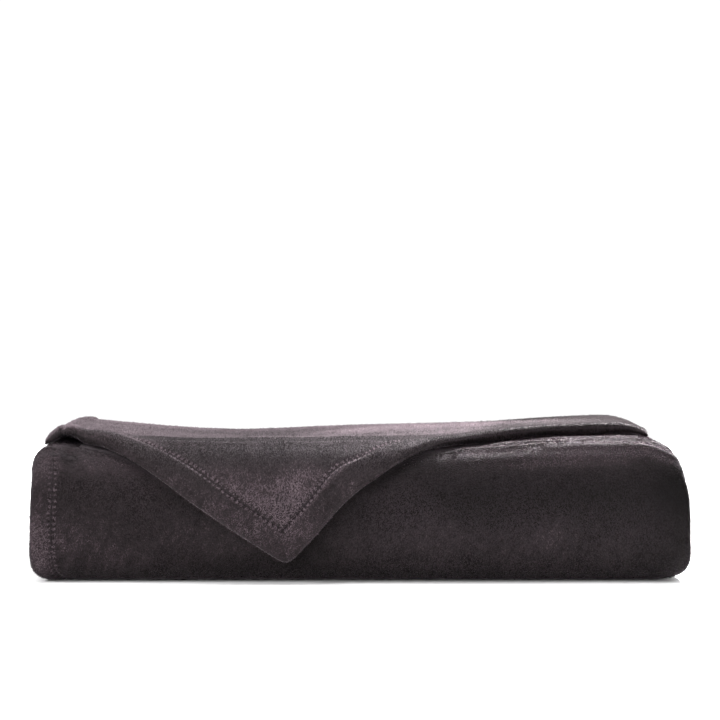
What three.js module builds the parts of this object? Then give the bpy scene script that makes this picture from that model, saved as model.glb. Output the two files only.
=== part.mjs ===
// A polar fleece blanket, folded flat into a long parcel with one corner turned down over the front.
// Millimetres. X runs along the parcel, Y from its front fold to its back, Z up.
// The whole blanket is one piece of cloth: a flat sheet whose every vertex is moved to its folded place.
import * as THREE from 'three';

// Driving sizes
const PARCEL_DEPTH = 370; // front fold to back turns
const CLOTH = 5.6; // thickness of the fleece with the pile on both faces
const PITCH = 7.6; // from the middle of one layer to the middle of the next
const NESTED_FOLDS = 8; // folds that lie inside each other behind the front face
const FRONT_RADIUS = 36; // the outermost fold's rounding at the top and bottom of the front
const TIGHT_RADIUS = 9; // the least rounding of a fold's corner, where the fold is tall enough

// The turned-down corner of the top layer
const CORNER_ACROSS = -67; // where its tip hangs, along the parcel
const CORNER_DROP = 132; // length of cloth from the start of the front's rounding to the tip
const LEFT_HEM_RISE = 0.7; // slope of the hem to the left of the tip
const TIP_ROUNDING = 4; // how much of the tip its rounding takes off
const SHARP_BY = 16; // this far inside the hem's edge the corner is sharp, not rounded
const CORNER_STANDS_OFF = 8.2; // from the middle of the front layer to the middle of the corner

// Hems: the edge turned over and stitched down
const HEM_WIDTH = 26;
const SIDE_HEM_WIDTH = 19;
const CURL = 2.4; // how far the corner's hem lifts off the layer below
const CURL_LEFT = -262; // beyond these two places along the parcel it comes down again
const CURL_RIGHT = 235;
const SIDE_ROLL = 1.8; // how far the left side's hem stands out where it shows

const FRONT = -PARCEL_DEPTH / 2 + CLOTH / 2;
const BACK = PARCEL_DEPTH / 2 - CLOTH / 2 - PITCH / 2;
const LAYERS = 2 * NESTED_FOLDS;
const layerHeight = (layer) => CLOTH / 2 + layer * PITCH;
const TOP_HEIGHT = layerHeight(LAYERS);
const STRAIGHT_TOP = BACK - (FRONT + FRONT_RADIUS);

// Where the parcel's two ends lie at each height
const endsByHeight = [
  { height: 0, left: -290, right: 277 },
  { height: 12, left: -303, right: 301 },
  { height: 50, left: -304, right: 304 },
  { height: 84, left: -303, right: 303 },
  { height: 102, left: -303, right: 300 },
  { height: 114, left: -304, right: 296 },
  { height: 124.4, left: -303, right: 278 },
];

// The top layer's own ends, and how high its upper face lies along the parcel
const TOP_LAYER_LEFT = -297;
const TOP_LAYER_RIGHT = 278;
const topByPlace = [
  { across: -304, height: 123 },
  { across: -297, height: 131 },
  { across: -285, height: 135.5 },
  { across: -270, height: 134 },
  { across: -250, height: 131.5 },
  { across: -220, height: 129 },
  { across: -150, height: 125 },
  { across: -110, height: 124 },
  { across: 0, height: 127 },
  { across: 75, height: 130 },
  { across: 170, height: 135 },
  { across: 240, height: 138 },
  { across: 262, height: 138.5 },
  { across: 276, height: 135 },
  { across: 288, height: 130 },
  { across: 304, height: 120 },
];

// At the hem the top layer's left end reaches out, and less so further from both
const LEFT_REACH = 2;
const REACH_ACROSS = 60;
const NEAR_HEM = 45; // this far from the hem's edge nothing is left of it
// The rolled hem gets thinner towards both its ends
const END_SLIM = 0.6;
const SLIM_WITHIN = 30;

// Before its left end the corner's hem stands up more, between two places along the parcel
const HEM_FULLER = 4.5;
const FULLER_FROM = -262;
const FULLER_TO = -222;
const FULLER_FADE = 18;
const FULLEST = 13; // this far from the hem's edge
const FULLER_WITHIN = 15;

// Right of the corner, where the hem lies on the top, its underside sags in waves along the parcel
const HEM_SAG = 3;
const SAG_LOWEST = 130; // the middle of one wave
const SAG_PITCH = 90; // from one wave to the next
const SAG_LEFT = 95; // between these two places
const SAG_RIGHT = 250;
const SAG_FADE = 20;

// How far the corner's cloth reaches past the start of the front's rounding, right of its tip. The
// first row carries the line on to the left of the tip.
const rightHem = [
  { across: -120, reach: 188 },
  { across: -67, reach: 132 },
  { across: -40, reach: 102 },
  { across: -12, reach: 70 },
  { across: 19, reach: 47 },
  { across: 61, reach: 16 },
  { across: 85, reach: -1 },
  { across: 130, reach: -25 },
  { across: 175, reach: -43 },
  { across: 240, reach: -62 },
  { across: 300, reach: -76 },
];

// The stack is a little higher in the middle of its depth than at its front and back
const CROWN_RISE = 0.012;
const CROWN_FALL = 0.035;
const TOP_SWAY = 0.008;
const TOP_SWAY_ACROSS = 47; // how slowly that sway goes along the parcel and from front to back
const TOP_SWAY_DEPTH = 60;

// The front face swells forward between the floor and the top, by an even belly and slow waves
const FRONT_BELLY = 5;
const FRONT_EASE = 40; // the swelling starts this far in front of the middle
const frontWaves = [
  { swell: 2.2, across: 83, height: 1000, start: 0.6 },
  { swell: 1.3, across: 39, height: -50, start: 0 },
];

// Long soft ridges in the top layer, running along the parcel. Each comes up and dies away over its
// fade on either side of its ends.
const ridges = [
  { depth: -142, from: -230, to: 30, height: 3.0, spread: 13, fade: 40 },
  { depth: -72, from: -130, to: 20, height: 2.8, spread: 15, fade: 40 },
  { depth: 20, from: -40, to: 230, height: 2.6, spread: 26, fade: 40 },
  { depth: 105, from: -250, to: 120, height: 2.2, spread: 24, fade: 40 },
  { depth: -125, from: -284, to: -264, height: 6, spread: 40, fade: 10 },
];

// How far each turn at the back stops short of the deepest one, from the top layer's turn inwards
const backTurnInsets = [0, 5, 9, 3, 13, 7, 4, 11];
const LAST_END_INSET = 22;

// Columns of vertices along the parcel, as distances from the left end, the tip or the right end
const leftColumns = [0, 3, SIDE_HEM_WIDTH / 2, SIDE_HEM_WIDTH - 2, SIDE_HEM_WIDTH + 1, SIDE_HEM_WIDTH + 4];
const tipColumns = [-183, -135, -88, -45, -16, 0, 16, 45, 80, 120, 160, 197, 235, 273, 311, 335];
const rightColumns = [3, 0];

// Thickness of a side edge against the plain cloth, at a distance from that edge
const sideHemProfile = [
  { inward: 0, share: 0.5 },
  { inward: 3, share: 1.08 },
  { inward: SIDE_HEM_WIDTH - 2, share: 1.1 },
  { inward: SIDE_HEM_WIDTH + 1, share: 0.78 },
  { inward: SIDE_HEM_WIDTH + 4, share: 1 },
];
const cutSideProfile = [
  { inward: 0, share: 0.55 },
  { inward: 3, share: 1 },
];

// The corner's hem, from its edge inwards: how far each face lies from the middle of the cloth
const cornerHemProfile = [
  { inward: 0, outer: 1.6, inner: 1.4 },
  { inward: 3.5, outer: 5.2, inner: 3.8 },
  { inward: HEM_WIDTH - 3, outer: 5.0, inner: 3.4 },
  { inward: HEM_WIDTH, outer: 1.5, inner: CLOTH / 2 },
  { inward: HEM_WIDTH + 5, outer: CLOTH / 2, inner: CLOTH / 2 },
];

// Rows of vertices in the top layer behind its hem, as distances past the start of the front's
// rounding. Where the hem comes sooner, the rows left over gather this far apart behind it.
const topLayerRows = [100, 85, 70, 56, 42, 28, 14, 0, -18, -50, -100, -165, -240];
const GATHERED = 4;

// Rows of vertices along the rest of the folded line
const TURN_STEPS = 4;
const FRONT_CORNER_STEPS = 3;
const INNER_CORNER_STEPS = 2;
const LEG_STEPS = 2;
const SHORTEST = 0.01; // a stretch of the line under this is nothing but rounding

const { clamp, lerp, smoothstep } = THREE.MathUtils;

// Reads a table of rows at a place between them, along a smooth curve through its rows
function follow(rows, by, value, at) {
  const last = rows.length - 1;
  const slope = (row) => {
    const [low, high] = [rows[Math.max(row - 1, 0)], rows[Math.min(row + 1, last)]];
    return (high[value] - low[value]) / (high[by] - low[by]);
  };
  const inside = clamp(at, rows[0][by], rows[last][by]);
  const next = Math.max(rows.findIndex((row) => row[by] >= inside), 1);
  const [low, high] = [rows[next - 1], rows[next]];
  const gap = high[by] - low[by];
  const t = (inside - low[by]) / gap;
  const eased = t * t * (3 - 2 * t);
  const bend = gap * t * (1 - t) * ((1 - t) * slope(next - 1) - t * slope(next));
  return lerp(low[value], high[value], eased) + bend;
}

// How round a nested fold's corners are: half its height is the most there can be
function cornerRadius(fold) {
  const halfHeight = ((LAYERS - 1 - 2 * fold) * PITCH) / 2;
  return Math.max(FRONT_RADIUS - fold * PITCH, Math.min(halfHeight, TIGHT_RADIUS));
}

// The folded line below the top layer, as lines and arcs in the plane of Y and Z
function foldedLine() {
  const line = new THREE.Path();
  const turn = (from, to, inset, clockwise) => {
    const middle = (layerHeight(from) + layerHeight(to)) / 2;
    const [start, end] = clockwise ? [Math.PI / 2, -Math.PI / 2] : [-Math.PI / 2, Math.PI / 2];
    line.absarc(BACK - inset, middle, PITCH / 2, start, end, clockwise);
  };
  line.moveTo(BACK - backTurnInsets[0], layerHeight(LAYERS));
  turn(LAYERS, LAYERS - 1, backTurnInsets[0], true);
  for (let fold = 0; fold < NESTED_FOLDS; fold += 1) {
    const radius = cornerRadius(fold);
    const centre = FRONT + fold * PITCH + radius;
    const [upper, lower] = [layerHeight(LAYERS - 1 - fold), layerHeight(fold)];
    const downwards = fold % 2 === 0;
    if (downwards) {
      line.absarc(centre, upper - radius, radius, Math.PI / 2, Math.PI, false);
      line.absarc(centre, lower + radius, radius, Math.PI, 1.5 * Math.PI, false);
    } else {
      line.absarc(centre, lower + radius, radius, 1.5 * Math.PI, Math.PI, true);
      line.absarc(centre, upper - radius, radius, Math.PI, Math.PI / 2, true);
    }
    if (fold === NESTED_FOLDS - 1) {
      line.lineTo(BACK - LAST_END_INSET, upper);
    } else {
      const from = downwards ? fold : LAYERS - 1 - fold;
      turn(from, from + (downwards ? 1 : -1), backTurnInsets[fold + 1], !downwards);
    }
  }
  return line;
}

// The line that the top layer follows from the back, over the front's rounding and straight down
function topLine() {
  const line = new THREE.Path();
  const radius = FRONT_RADIUS + CORNER_STANDS_OFF;
  const centre = FRONT + FRONT_RADIUS;
  line.moveTo(BACK, TOP_HEIGHT);
  line.lineTo(centre, TOP_HEIGHT);
  line.absarc(centre, TOP_HEIGHT - radius, radius, Math.PI / 2, Math.PI, false);
  line.lineTo(centre - radius, 0);
  return line;
}

// How many steps of vertices a stretch of the line gets
function stepsIn(curve) {
  if (curve.isLineCurve) return curve.getLength() > PARCEL_DEPTH / 2 ? LEG_STEPS : 1;
  const halfTurn = Math.abs(curve.aEndAngle - curve.aStartAngle) > 0.75 * Math.PI;
  if (halfTurn) return TURN_STEPS;
  return curve.xRadius === FRONT_RADIUS ? FRONT_CORNER_STEPS : INNER_CORNER_STEPS;
}

// Rows of vertices along the line, each with the direction that its outer face looks in
function rowsAlong(line) {
  const rows = [];
  const stretches = line.curves.filter((curve) => curve.getLength() > SHORTEST);
  stretches.forEach((curve, number) => {
    const steps = stepsIn(curve);
    for (let step = number === 0 ? 0 : 1; step <= steps; step += 1) {
      const at = curve.getPoint(step / steps);
      const along = curve.getTangent(step / steps);
      rows.push({ y: at.x, z: at.y, outY: -along.y, outZ: along.x });
    }
  });
  return rows;
}

// How far a line reaches past the start of the front's rounding, where it runs a distance inside
// both sides of the corner's hem. By the edge its corner is rounded, further in it is sharp.
function reachInside(across, inward) {
  const left = CORNER_DROP + LEFT_HEM_RISE * (across - CORNER_ACROSS);
  const right = follow(rightHem, 'across', 'reach', across);
  const rise = right - follow(rightHem, 'across', 'reach', across + 1);
  const inside = Math.min(
    left - inward * Math.hypot(1, LEFT_HEM_RISE),
    right - inward * Math.hypot(1, rise),
  );
  const rounding = Math.exp(-Math.abs(across - CORNER_ACROSS) / TIP_ROUNDING);
  return inside - TIP_ROUNDING * rounding * (1 - smoothstep(inward, 0, SHARP_BY));
}

const nearHem = (inward) => 1 - smoothstep(inward, 0, NEAR_HEM);

// Where a place along the parcel goes when the left end reaches out at the hem
function reachedOut(across, inward) {
  const nearLeft = 1 - smoothstep(across, TOP_LAYER_LEFT, TOP_LAYER_LEFT + REACH_ACROSS);
  return across - LEFT_REACH * nearLeft * nearHem(inward);
}

// 1 between two places along the parcel and 0 outside them, with a fade at both
function between(across, from, to, fade) {
  const begun = smoothstep(across, from - fade, from + fade);
  return begun * (1 - smoothstep(across, to - fade, to + fade));
}

function hemSag(across, inward) {
  const wave = 0.5 + 0.5 * Math.cos((2 * Math.PI * (across - SAG_LOWEST)) / SAG_PITCH);
  const inWaves = between(across, SAG_LEFT, SAG_RIGHT, SAG_FADE);
  return HEM_SAG * wave * inWaves * Math.exp(-inward / HEM_WIDTH);
}

function hemFuller(across, inward) {
  const overHem = Math.exp(-(((inward - FULLEST) / FULLER_WITHIN) ** 2));
  return HEM_FULLER * between(across, FULLER_FROM, FULLER_TO, FULLER_FADE) * overHem;
}

const folded = foldedLine();
const lowerRows = rowsAlong(folded);
const top = topLine();
const topLength = top.getLength();

const width = TOP_LAYER_RIGHT - TOP_LAYER_LEFT;
const columns = [
  ...leftColumns.map((inward) => inward / width),
  ...tipColumns.map((away) => (CORNER_ACROSS + away - TOP_LAYER_LEFT) / width),
  ...rightColumns.map((inward) => 1 - inward / width),
];
const hemRows = cornerHemProfile.length;
const topRows = hemRows + topLayerRows.length;
const firstFold = TURN_STEPS + LEG_STEPS + 2 * FRONT_CORNER_STEPS + 2; // rows to its lower corner
const rowCount = topRows + lowerRows.length;

// One row of the top layer, which starts at the hem and ends before the back turn begins
function topRow(row, flat) {
  const hem = cornerHemProfile[Math.min(row, hemRows - 1)];
  const behind = Math.max(row - hemRows + 1, 0);
  const inward = hem.inward + GATHERED * behind;
  const across = reachedOut(flat, inward);
  let reach = reachInside(across, inward);
  if (behind > 0) reach = Math.min(reach, topLayerRows[behind - 1]);
  const share = (STRAIGHT_TOP + reach) / topLength;
  const at = top.getPointAt(share);
  const along = top.getTangentAt(share);
  const rises = smoothstep(across, TOP_LAYER_LEFT, CURL_LEFT);
  const falls = smoothstep(across, CURL_RIGHT, TOP_LAYER_RIGHT);
  const curl = CURL * rises * (1 - falls) * Math.exp(-inward / HEM_WIDTH);
  const fromEnd = Math.min(flat - TOP_LAYER_LEFT, TOP_LAYER_RIGHT - flat);
  const slimEnd = lerp(END_SLIM, 1, smoothstep(fromEnd, 0, SLIM_WITHIN));
  const slim = lerp(1, slimEnd, nearHem(inward));
  return {
    across,
    y: at.x,
    z: at.y,
    outY: along.y,
    outZ: -along.x,
    outer: (hem.outer + curl + hemFuller(across, inward)) * slim,
    inner: (hem.inner - curl + hemSag(across, inward)) * slim,
  };
}

// How much the parcel's upper layers rise or dip at a place, against their even spacing
function heightShare(across, y) {
  const crown = 1 + CROWN_RISE - CROWN_FALL * (y / (PARCEL_DEPTH / 2)) ** 2;
  const sway = 1 + TOP_SWAY * Math.sin(across / TOP_SWAY_ACROSS + y / TOP_SWAY_DEPTH);
  const height = follow(topByPlace, 'across', 'height', across);
  return (height / (TOP_HEIGHT + CLOTH / 2)) * crown * sway;
}

// How far the front bulges forward at a height, most in the middle of it and not the same all along
function bulge(across, y, z) {
  const nearFront = smoothstep(-y, FRONT_EASE, PARCEL_DEPTH / 2);
  const belly = Math.sin(Math.PI * clamp(z / TOP_HEIGHT, 0, 1)) ** 2;
  const swell = frontWaves.reduce(
    (sum, wave) => sum + wave.swell * Math.sin(across / wave.across + z / wave.height + wave.start),
    FRONT_BELLY,
  );
  return -nearFront * belly * swell;
}

function ridgeRise(across, y) {
  return ridges.reduce((sum, ridge) => {
    const near = Math.exp(-(((y - ridge.depth) / ridge.spread) ** 2));
    return sum + ridge.height * between(across, ridge.from, ridge.to, ridge.fade) * near;
  }, 0);
}

// Moves one vertex of the flat sheet to its place in the parcel
function place(row, column, side) {
  const share = columns[column];
  const fromLeft = share * width;
  const fromRight = width - fromLeft;
  const edge = fromLeft < width / 2
    ? follow(sideHemProfile, 'inward', 'share', fromLeft)
    : follow(cutSideProfile, 'inward', 'share', fromRight);
  const onTop = row < topRows;
  const flat = TOP_LAYER_LEFT + fromLeft;
  const at = onTop ? topRow(row, flat) : lowerRows[row - topRows];
  // The outer face shows on top. On the front it is the inner one, as the cloth has turned over
  const roll = SIDE_ROLL * Math.sin(Math.PI * clamp(fromLeft / SIDE_HEM_WIDTH, 0, 1));
  const onFront = !onTop && row < topRows + firstFold && at.y < 0;
  const outwardRoll = onTop ? roll : 0;
  const inwardRoll = onFront ? roll * Math.abs(at.outY) : 0;
  const off = side > 0
    ? (at.outer ?? CLOTH / 2) * edge + outwardRoll
    : -(at.inner ?? CLOTH / 2) * edge - inwardRoll;
  const y = at.y + off * at.outY;
  const z = at.z + off * at.outZ;
  const left = follow(endsByHeight, 'height', 'left', at.z);
  const right = follow(endsByHeight, 'height', 'right', at.z);
  const x = onTop ? at.across : lerp(left, right, share);
  const lift = onTop && at.y > FRONT ? ridgeRise(x, at.y) : 0;
  const pressed = Math.max(z, 0) * heightShare(x, y) + lift; // flat on what the parcel lies on
  return new THREE.Vector3(x, y + bulge(x, y, z), pressed);
}

function foldedBlanket() {
  const sheet = new THREE.BoxGeometry(1, 1, 1, columns.length - 1, rowCount - 1, 1);
  const points = sheet.attributes.position;
  for (let i = 0; i < points.count; i += 1) {
    const column = Math.round((points.getX(i) + 0.5) * (columns.length - 1));
    const row = Math.round((points.getY(i) + 0.5) * (rowCount - 1));
    points.setXYZ(i, ...place(row, column, points.getZ(i)));
  }
  sheet.computeBoundingBox();
  const middle = sheet.boundingBox.getCenter(new THREE.Vector3());
  sheet.translate(-middle.x, -middle.y, -sheet.boundingBox.min.z);
  sheet.computeVertexNormals();
  return sheet;
}

const fleece = new THREE.MeshStandardMaterial({ color: 0x4a4146, roughness: 0.95, metalness: 0 });
const blanket = new THREE.Mesh(foldedBlanket(), fleece);
blanket.name = 'blanket';

const group = new THREE.Group();
group.add(blanket);
export default group;
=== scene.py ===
import math

import bpy
import numpy as np
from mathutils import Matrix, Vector
from mathutils.bvhtree import BVHTree
from mathutils.kdtree import KDTree


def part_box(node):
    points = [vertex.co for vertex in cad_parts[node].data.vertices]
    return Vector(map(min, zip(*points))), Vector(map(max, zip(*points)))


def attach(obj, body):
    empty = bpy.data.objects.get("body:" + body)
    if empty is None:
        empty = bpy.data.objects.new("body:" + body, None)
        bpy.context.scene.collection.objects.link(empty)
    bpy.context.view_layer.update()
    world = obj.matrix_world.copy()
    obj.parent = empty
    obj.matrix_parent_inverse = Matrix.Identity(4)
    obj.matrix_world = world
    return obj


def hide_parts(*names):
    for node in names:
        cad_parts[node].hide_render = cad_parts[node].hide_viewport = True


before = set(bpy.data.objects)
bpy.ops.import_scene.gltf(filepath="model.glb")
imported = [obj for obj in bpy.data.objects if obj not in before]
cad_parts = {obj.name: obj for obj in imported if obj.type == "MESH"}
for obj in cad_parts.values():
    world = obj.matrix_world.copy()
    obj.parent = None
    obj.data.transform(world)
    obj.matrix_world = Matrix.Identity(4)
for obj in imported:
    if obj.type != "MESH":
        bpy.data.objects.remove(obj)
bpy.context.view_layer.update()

# The folded blanket's sizes in millimetres, as its solid has them
MM = 0.001
PARCEL_DEPTH = 370  # front fold to back turns
CLOTH = 5.6  # thickness, with the pile counted in
PITCH = 7.6  # from the middle of one layer to the middle of the next
NESTED_FOLDS = 8
LAYERS = 2 * NESTED_FOLDS  # below the top layer
FRONT_RADIUS = 36  # the outer fold's rounding at the top and foot of the front
TIGHT_RADIUS = 9  # the innermost folds' rounding
FRONT = -PARCEL_DEPTH / 2 + CLOTH / 2
BACK = PARCEL_DEPTH / 2 - CLOTH / 2 - PITCH / 2
BACK_TURN_INSETS = [0, 5, 9, 3, 13, 7, 4, 11]
LAST_END_INSET = 22

# The corner of the top layer that is turned down over the front
CORNER_ACROSS = -67
CORNER_DROP = 132  # its tip's reach past the start of the front's rounding
LEFT_HEM_RISE = 0.7
TIP_ROUNDING = 4
CORNER_STANDS_OFF = 8.2  # from the middle of the front fold
SHARP_BY = 16  # this far inside its edge the corner is sharp

# Hems: the edge turned over and stitched down
HEM_WIDTH = 26
SIDE_HEM_WIDTH = 19
SIDE_ROLL = 1.8
ROLL_FULLNESS = 0.8
CURL = 2.4  # the corner's hem lifts by this much, between these two places
CURL_LEFT = -262
CURL_RIGHT = 235

# The top layer's own ends, and how it reaches out and gets thinner there
TOP_LEFT = -297
TOP_RIGHT = 278
TOP_WIDTH = TOP_RIGHT - TOP_LEFT
LEFT_REACH = 2
REACH_ACROSS = 60
NEAR_HEM = 45
END_SLIM = 0.6
SLIM_WITHIN = 30

# Before its left end the corner's hem stands up more
HEM_FULLER = 4.5
FULLER_FROM = -262
FULLER_TO = -222
FULLER_FADE = 18
FULLEST = 13
FULLER_WITHIN = 15

# Right of the corner, where it lies on the top, the hem's underside sags in waves
HEM_SAG = 3
SAG_LOWEST = 130
SAG_PITCH = 90
SAG_LEFT = 95
SAG_RIGHT = 250
SAG_FADE = 20

# How the upper layers and the front depart from an even stack
CROWN_RISE = 0.012
CROWN_FALL = 0.035
TOP_SWAY = 0.008
TOP_SWAY_ACROSS = 47
TOP_SWAY_DEPTH = 60
FRONT_BELLY = 5
FRONT_EASE = 40
# Slow waves of the front's swelling: swell, across, height, start
FRONT_WAVES = [(2.2, 83, 1000, 0.6), (1.3, 39, -50, 0)]

# Where the parcel's ends lie at each height: height, left, right
ENDS = np.array([
    (0, -290, 277), (12, -303, 301), (50, -304, 304), (84, -303, 303),
    (102, -303, 300), (114, -304, 296), (124.4, -303, 278),
])
# How high the top layer's upper face lies along the parcel: across, height
TOP_HEIGHTS = np.array([
    (-304, 123), (-297, 131), (-285, 135.5), (-270, 134), (-250, 131.5), (-220, 129), (-150, 125),
    (-110, 124), (0, 127), (75, 130), (170, 135), (240, 138), (262, 138.5), (276, 135), (288, 130),
    (304, 120),
])
# How far the corner's cloth reaches past the start of the front's rounding, right of its tip. The
# first row carries the line on to the left of the tip: across, reach
RIGHT_HEM = np.array([
    (-120, 188), (-67, 132), (-40, 102), (-12, 70), (19, 47), (61, 16), (85, -1),
    (130, -25), (175, -43), (240, -62), (300, -76),
])
# How thick the hemmed left edge and the rounded right one are: distance inwards, share of the cloth
LEFT_EDGE = np.array([
    (0, 0.3), (0.8, 0.75), (3, 1.1), (SIDE_HEM_WIDTH - 6, 1.2), (SIDE_HEM_WIDTH - 2, 1.0),
    (SIDE_HEM_WIDTH, 0.5), (SIDE_HEM_WIDTH + 2, 0.9), (SIDE_HEM_WIDTH + 7, 1),
])
RIGHT_EDGE = np.array([(0, 0.35), (0.8, 0.8), (3, 1)])
# How far the corner's hem's outer and inner faces lie from its middle: distance inwards, distance
HEM_OUTER = np.array([
    (0, 0.9), (0.7, 2.6), (2, 4.3), (4.5, 5.4), (12, 5.8), (HEM_WIDTH - 4, 5.2),
    (HEM_WIDTH - 1.2, 3.2), (HEM_WIDTH, 1.5), (HEM_WIDTH + 1.2, 2.5), (HEM_WIDTH + 5, 3.6),
    (HEM_WIDTH + 10, CLOTH / 2),
])
HEM_INNER = np.array([
    (0, 0.7), (0.7, 2.0), (2, 3.2), (4.5, 4.0), (HEM_WIDTH - 8, 4.0), (HEM_WIDTH, CLOTH / 2),
])
# Long soft ridges in the top layer: depth, from, to, height, spread, fade
RIDGES = [
    (-142, -230, 30, 3.0, 13, 40),
    (-72, -130, 20, 2.8, 15, 40),
    (20, -40, 230, 2.6, 26, 40),
    (105, -250, 120, 2.2, 24, 40),
    (-125, -284, -264, 6, 40, 10),
]
# Fine creases in the top layer's upper face, beside those ridges: as above
TOP_CREASES = [
    (-146, -200, 60, 1.5, 5, 50),
    (-112, -150, 30, 1.5, 5, 40),
    (-84, -140, 40, 1.6, 6, 40),
    (-40, -60, 150, 1.4, 6, 40),
    (30, 20, 230, 1.4, 7, 40),
]
# Creases in the layer below it, by the right end of the front, and the pinch under the corner's
# left end: as above
CREASES = [
    (-112, 90, 262, 2.6, 4, 30),
    (-122, 150, 300, 3.0, 4, 30),
    (-132, 70, 230, 2.6, 4, 30),
    (-142, 120, 310, 3.2, 4, 30),
    (-152, 60, 220, 2.4, 4, 30),
    (-160, 170, 310, 2.8, 4, 30),
    (-169, 100, 240, 2.0, 4, 30),
    (-158, -312, -278, 2.6, 3.5, 8),
    (-168, -312, -274, 2.4, 3.5, 8),
    (-158, -276, -262, -5, 9, 6),
]
CREASES_CLEAR_HEM = (2, 14)  # they die away over this distance in front of the corner's hem

# How fine the sheet's grid is
CURVE_STEPS = 4000
# Columns along the parcel: distance from the left end, spacing
COLUMN_SPACING = [
    (0, 0.8), (3, 1.2), (SIDE_HEM_WIDTH - 3, 2.4), (SIDE_HEM_WIDTH, 1.1), (SIDE_HEM_WIDTH + 6, 3.8),
    (CORNER_ACROSS - TOP_LEFT - 30, 3.8), (CORNER_ACROSS - TOP_LEFT, 1.8),
    (CORNER_ACROSS - TOP_LEFT + 30, 3.8), (TOP_WIDTH - 8, 3.8), (TOP_WIDTH, 0.9),
]
# Rows in the corner's hem, behind it, and in the layer below it: distance, spacing
HEM_SPACING = [
    (0, 0.7), (2, 1.4), (8, 2.6), (HEM_WIDTH - 4, 1.8), (HEM_WIDTH, 0.9), (HEM_WIDTH + 10, 2.6),
]
BEHIND_SPACING = [(0, 3), (170, 4), (380, 8)]
BELOW_SPACING = [(0, 2.3), (60, 2.8), (110, 6)]
BELOW_LAST_SPACING = 14
FINE_CORNER = 16  # steps round the outer fold's corners, up its face and round the top turn
FINE_FACE = 10
FINE_TURN = 8
SHORTEST_FACE = 0.1  # a fold's corners that are closer together have no face between them
COARSE_CORNER = 5  # steps as above, inside the stack
COARSE_FACE = 2
COARSE_TURN = 6
COARSE_LEG = [0.2, 0.4, 0.6, 0.8, 1]
COARSE_EVERY = 4  # of the fine columns, one goes on inside the stack
COARSE_LEFT = 7  # but this many at the left end and at the right end
COARSE_RIGHT = 4


def layer_height(layer):
    return CLOTH / 2 + layer * PITCH


TOP_HEIGHT = layer_height(LAYERS)
STRAIGHT_TOP = BACK - (FRONT + FRONT_RADIUS)


def smoothstep(x, low, high):
    t = np.clip((x - low) / (high - low), 0, 1)
    return t * t * (3 - 2 * t)


def mix(a, b, share):
    return a + (b - a) * share


def hill(x, middle, spread):
    """1 at the middle, and dying away on both sides of it."""
    return np.exp(-(((x - middle) / spread) ** 2))


def between(across, start, end, fade):
    """1 between two places and 0 outside them, with a fade at both."""
    begun = smoothstep(across, start - fade, start + fade)
    return begun * (1 - smoothstep(across, end - fade, end + fade))


def read_table(table, at):
    """Reads a table's second column at places of its first, straight between its rows."""
    return np.interp(at, table[:, 0], table[:, 1])


def follow(places, values, at):
    """Reads a short table between its rows, along a smooth curve through them."""
    last = len(places) - 1
    before, after = np.r_[0, np.arange(last)], np.r_[np.arange(1, last + 1), last]
    slope = (values[after] - values[before]) / (places[after] - places[before])
    at = np.clip(at, places[0], places[-1])
    row = np.clip(np.searchsorted(places, at) - 1, 0, last - 1)
    gap = places[row + 1] - places[row]
    t = (at - places[row]) / gap
    bend = gap * t * (1 - t) * ((1 - t) * slope[row] - t * slope[row + 1])
    return mix(values[row], values[row + 1], smoothstep(t, 0, 1)) + bend


def graded(stops, multiple=1):
    """Places from the first stop to the last, whose spacing goes from one stop's to the next."""
    stops = np.array(stops, float)
    fine = np.linspace(stops[0, 0], stops[-1, 0], CURVE_STEPS)
    per_step = 1 / np.interp(fine, stops[:, 0], stops[:, 1])
    count = np.concatenate([[0], np.cumsum((per_step[1:] + per_step[:-1]) / 2 * np.diff(fine))])
    steps = multiple * math.ceil(count[-1] / multiple)
    return np.interp(np.linspace(0, count[-1], steps + 1), count, fine)


def hem_lines(across, inward):
    """The two lines that run a distance inside the two sides of the hem, up to the tip and past it."""
    left = CORNER_DROP + LEFT_HEM_RISE * (across - CORNER_ACROSS)
    right = follow(RIGHT_HEM[:, 0], RIGHT_HEM[:, 1], across)
    rise = right - follow(RIGHT_HEM[:, 0], RIGHT_HEM[:, 1], across + 1)
    return left - inward * math.hypot(1, LEFT_HEM_RISE), right - inward * np.hypot(1, rise)


def reach_inside(across, inward):
    """How far past the start of the front's rounding a line reaches that runs a distance inside
    both sides of the corner's hem. By the edge its corner is rounded, further in it is sharp."""
    rounding = np.exp(-np.abs(across - CORNER_ACROSS) / TIP_ROUNDING)
    soft = 1 - smoothstep(inward, 0, SHARP_BY)
    return np.minimum(*hem_lines(across, inward)) - TIP_ROUNDING * rounding * soft


def near_hem(inward):
    return 1 - smoothstep(inward, 0, NEAR_HEM)


def reached_out(across, inward):
    """The top layer's left end reaches out a little at the hem."""
    near_left = 1 - smoothstep(across, TOP_LEFT, TOP_LEFT + REACH_ACROSS)
    return across - near_hem(inward) * near_left * LEFT_REACH


def hem_curl(across, inward):
    """How far the corner's hem lifts, away from its two ends."""
    lifts = smoothstep(across, TOP_LEFT, CURL_LEFT) * (1 - smoothstep(across, CURL_RIGHT, TOP_RIGHT))
    return CURL * lifts * np.exp(-inward / HEM_WIDTH)


def hem_sag(across, inward):
    """How far the corner's hem sags in waves at the right, where it lies on the top."""
    wave = 0.5 + 0.5 * np.cos(2 * np.pi * (across - SAG_LOWEST) / SAG_PITCH)
    return HEM_SAG * wave * between(across, SAG_LEFT, SAG_RIGHT, SAG_FADE) * np.exp(-inward / HEM_WIDTH)


def hem_fuller(across, inward):
    """How much further the corner's hem stands up before its left end."""
    over_hem = hill(inward, FULLEST, FULLER_WITHIN)
    return HEM_FULLER * between(across, FULLER_FROM, FULLER_TO, FULLER_FADE) * over_hem


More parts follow.
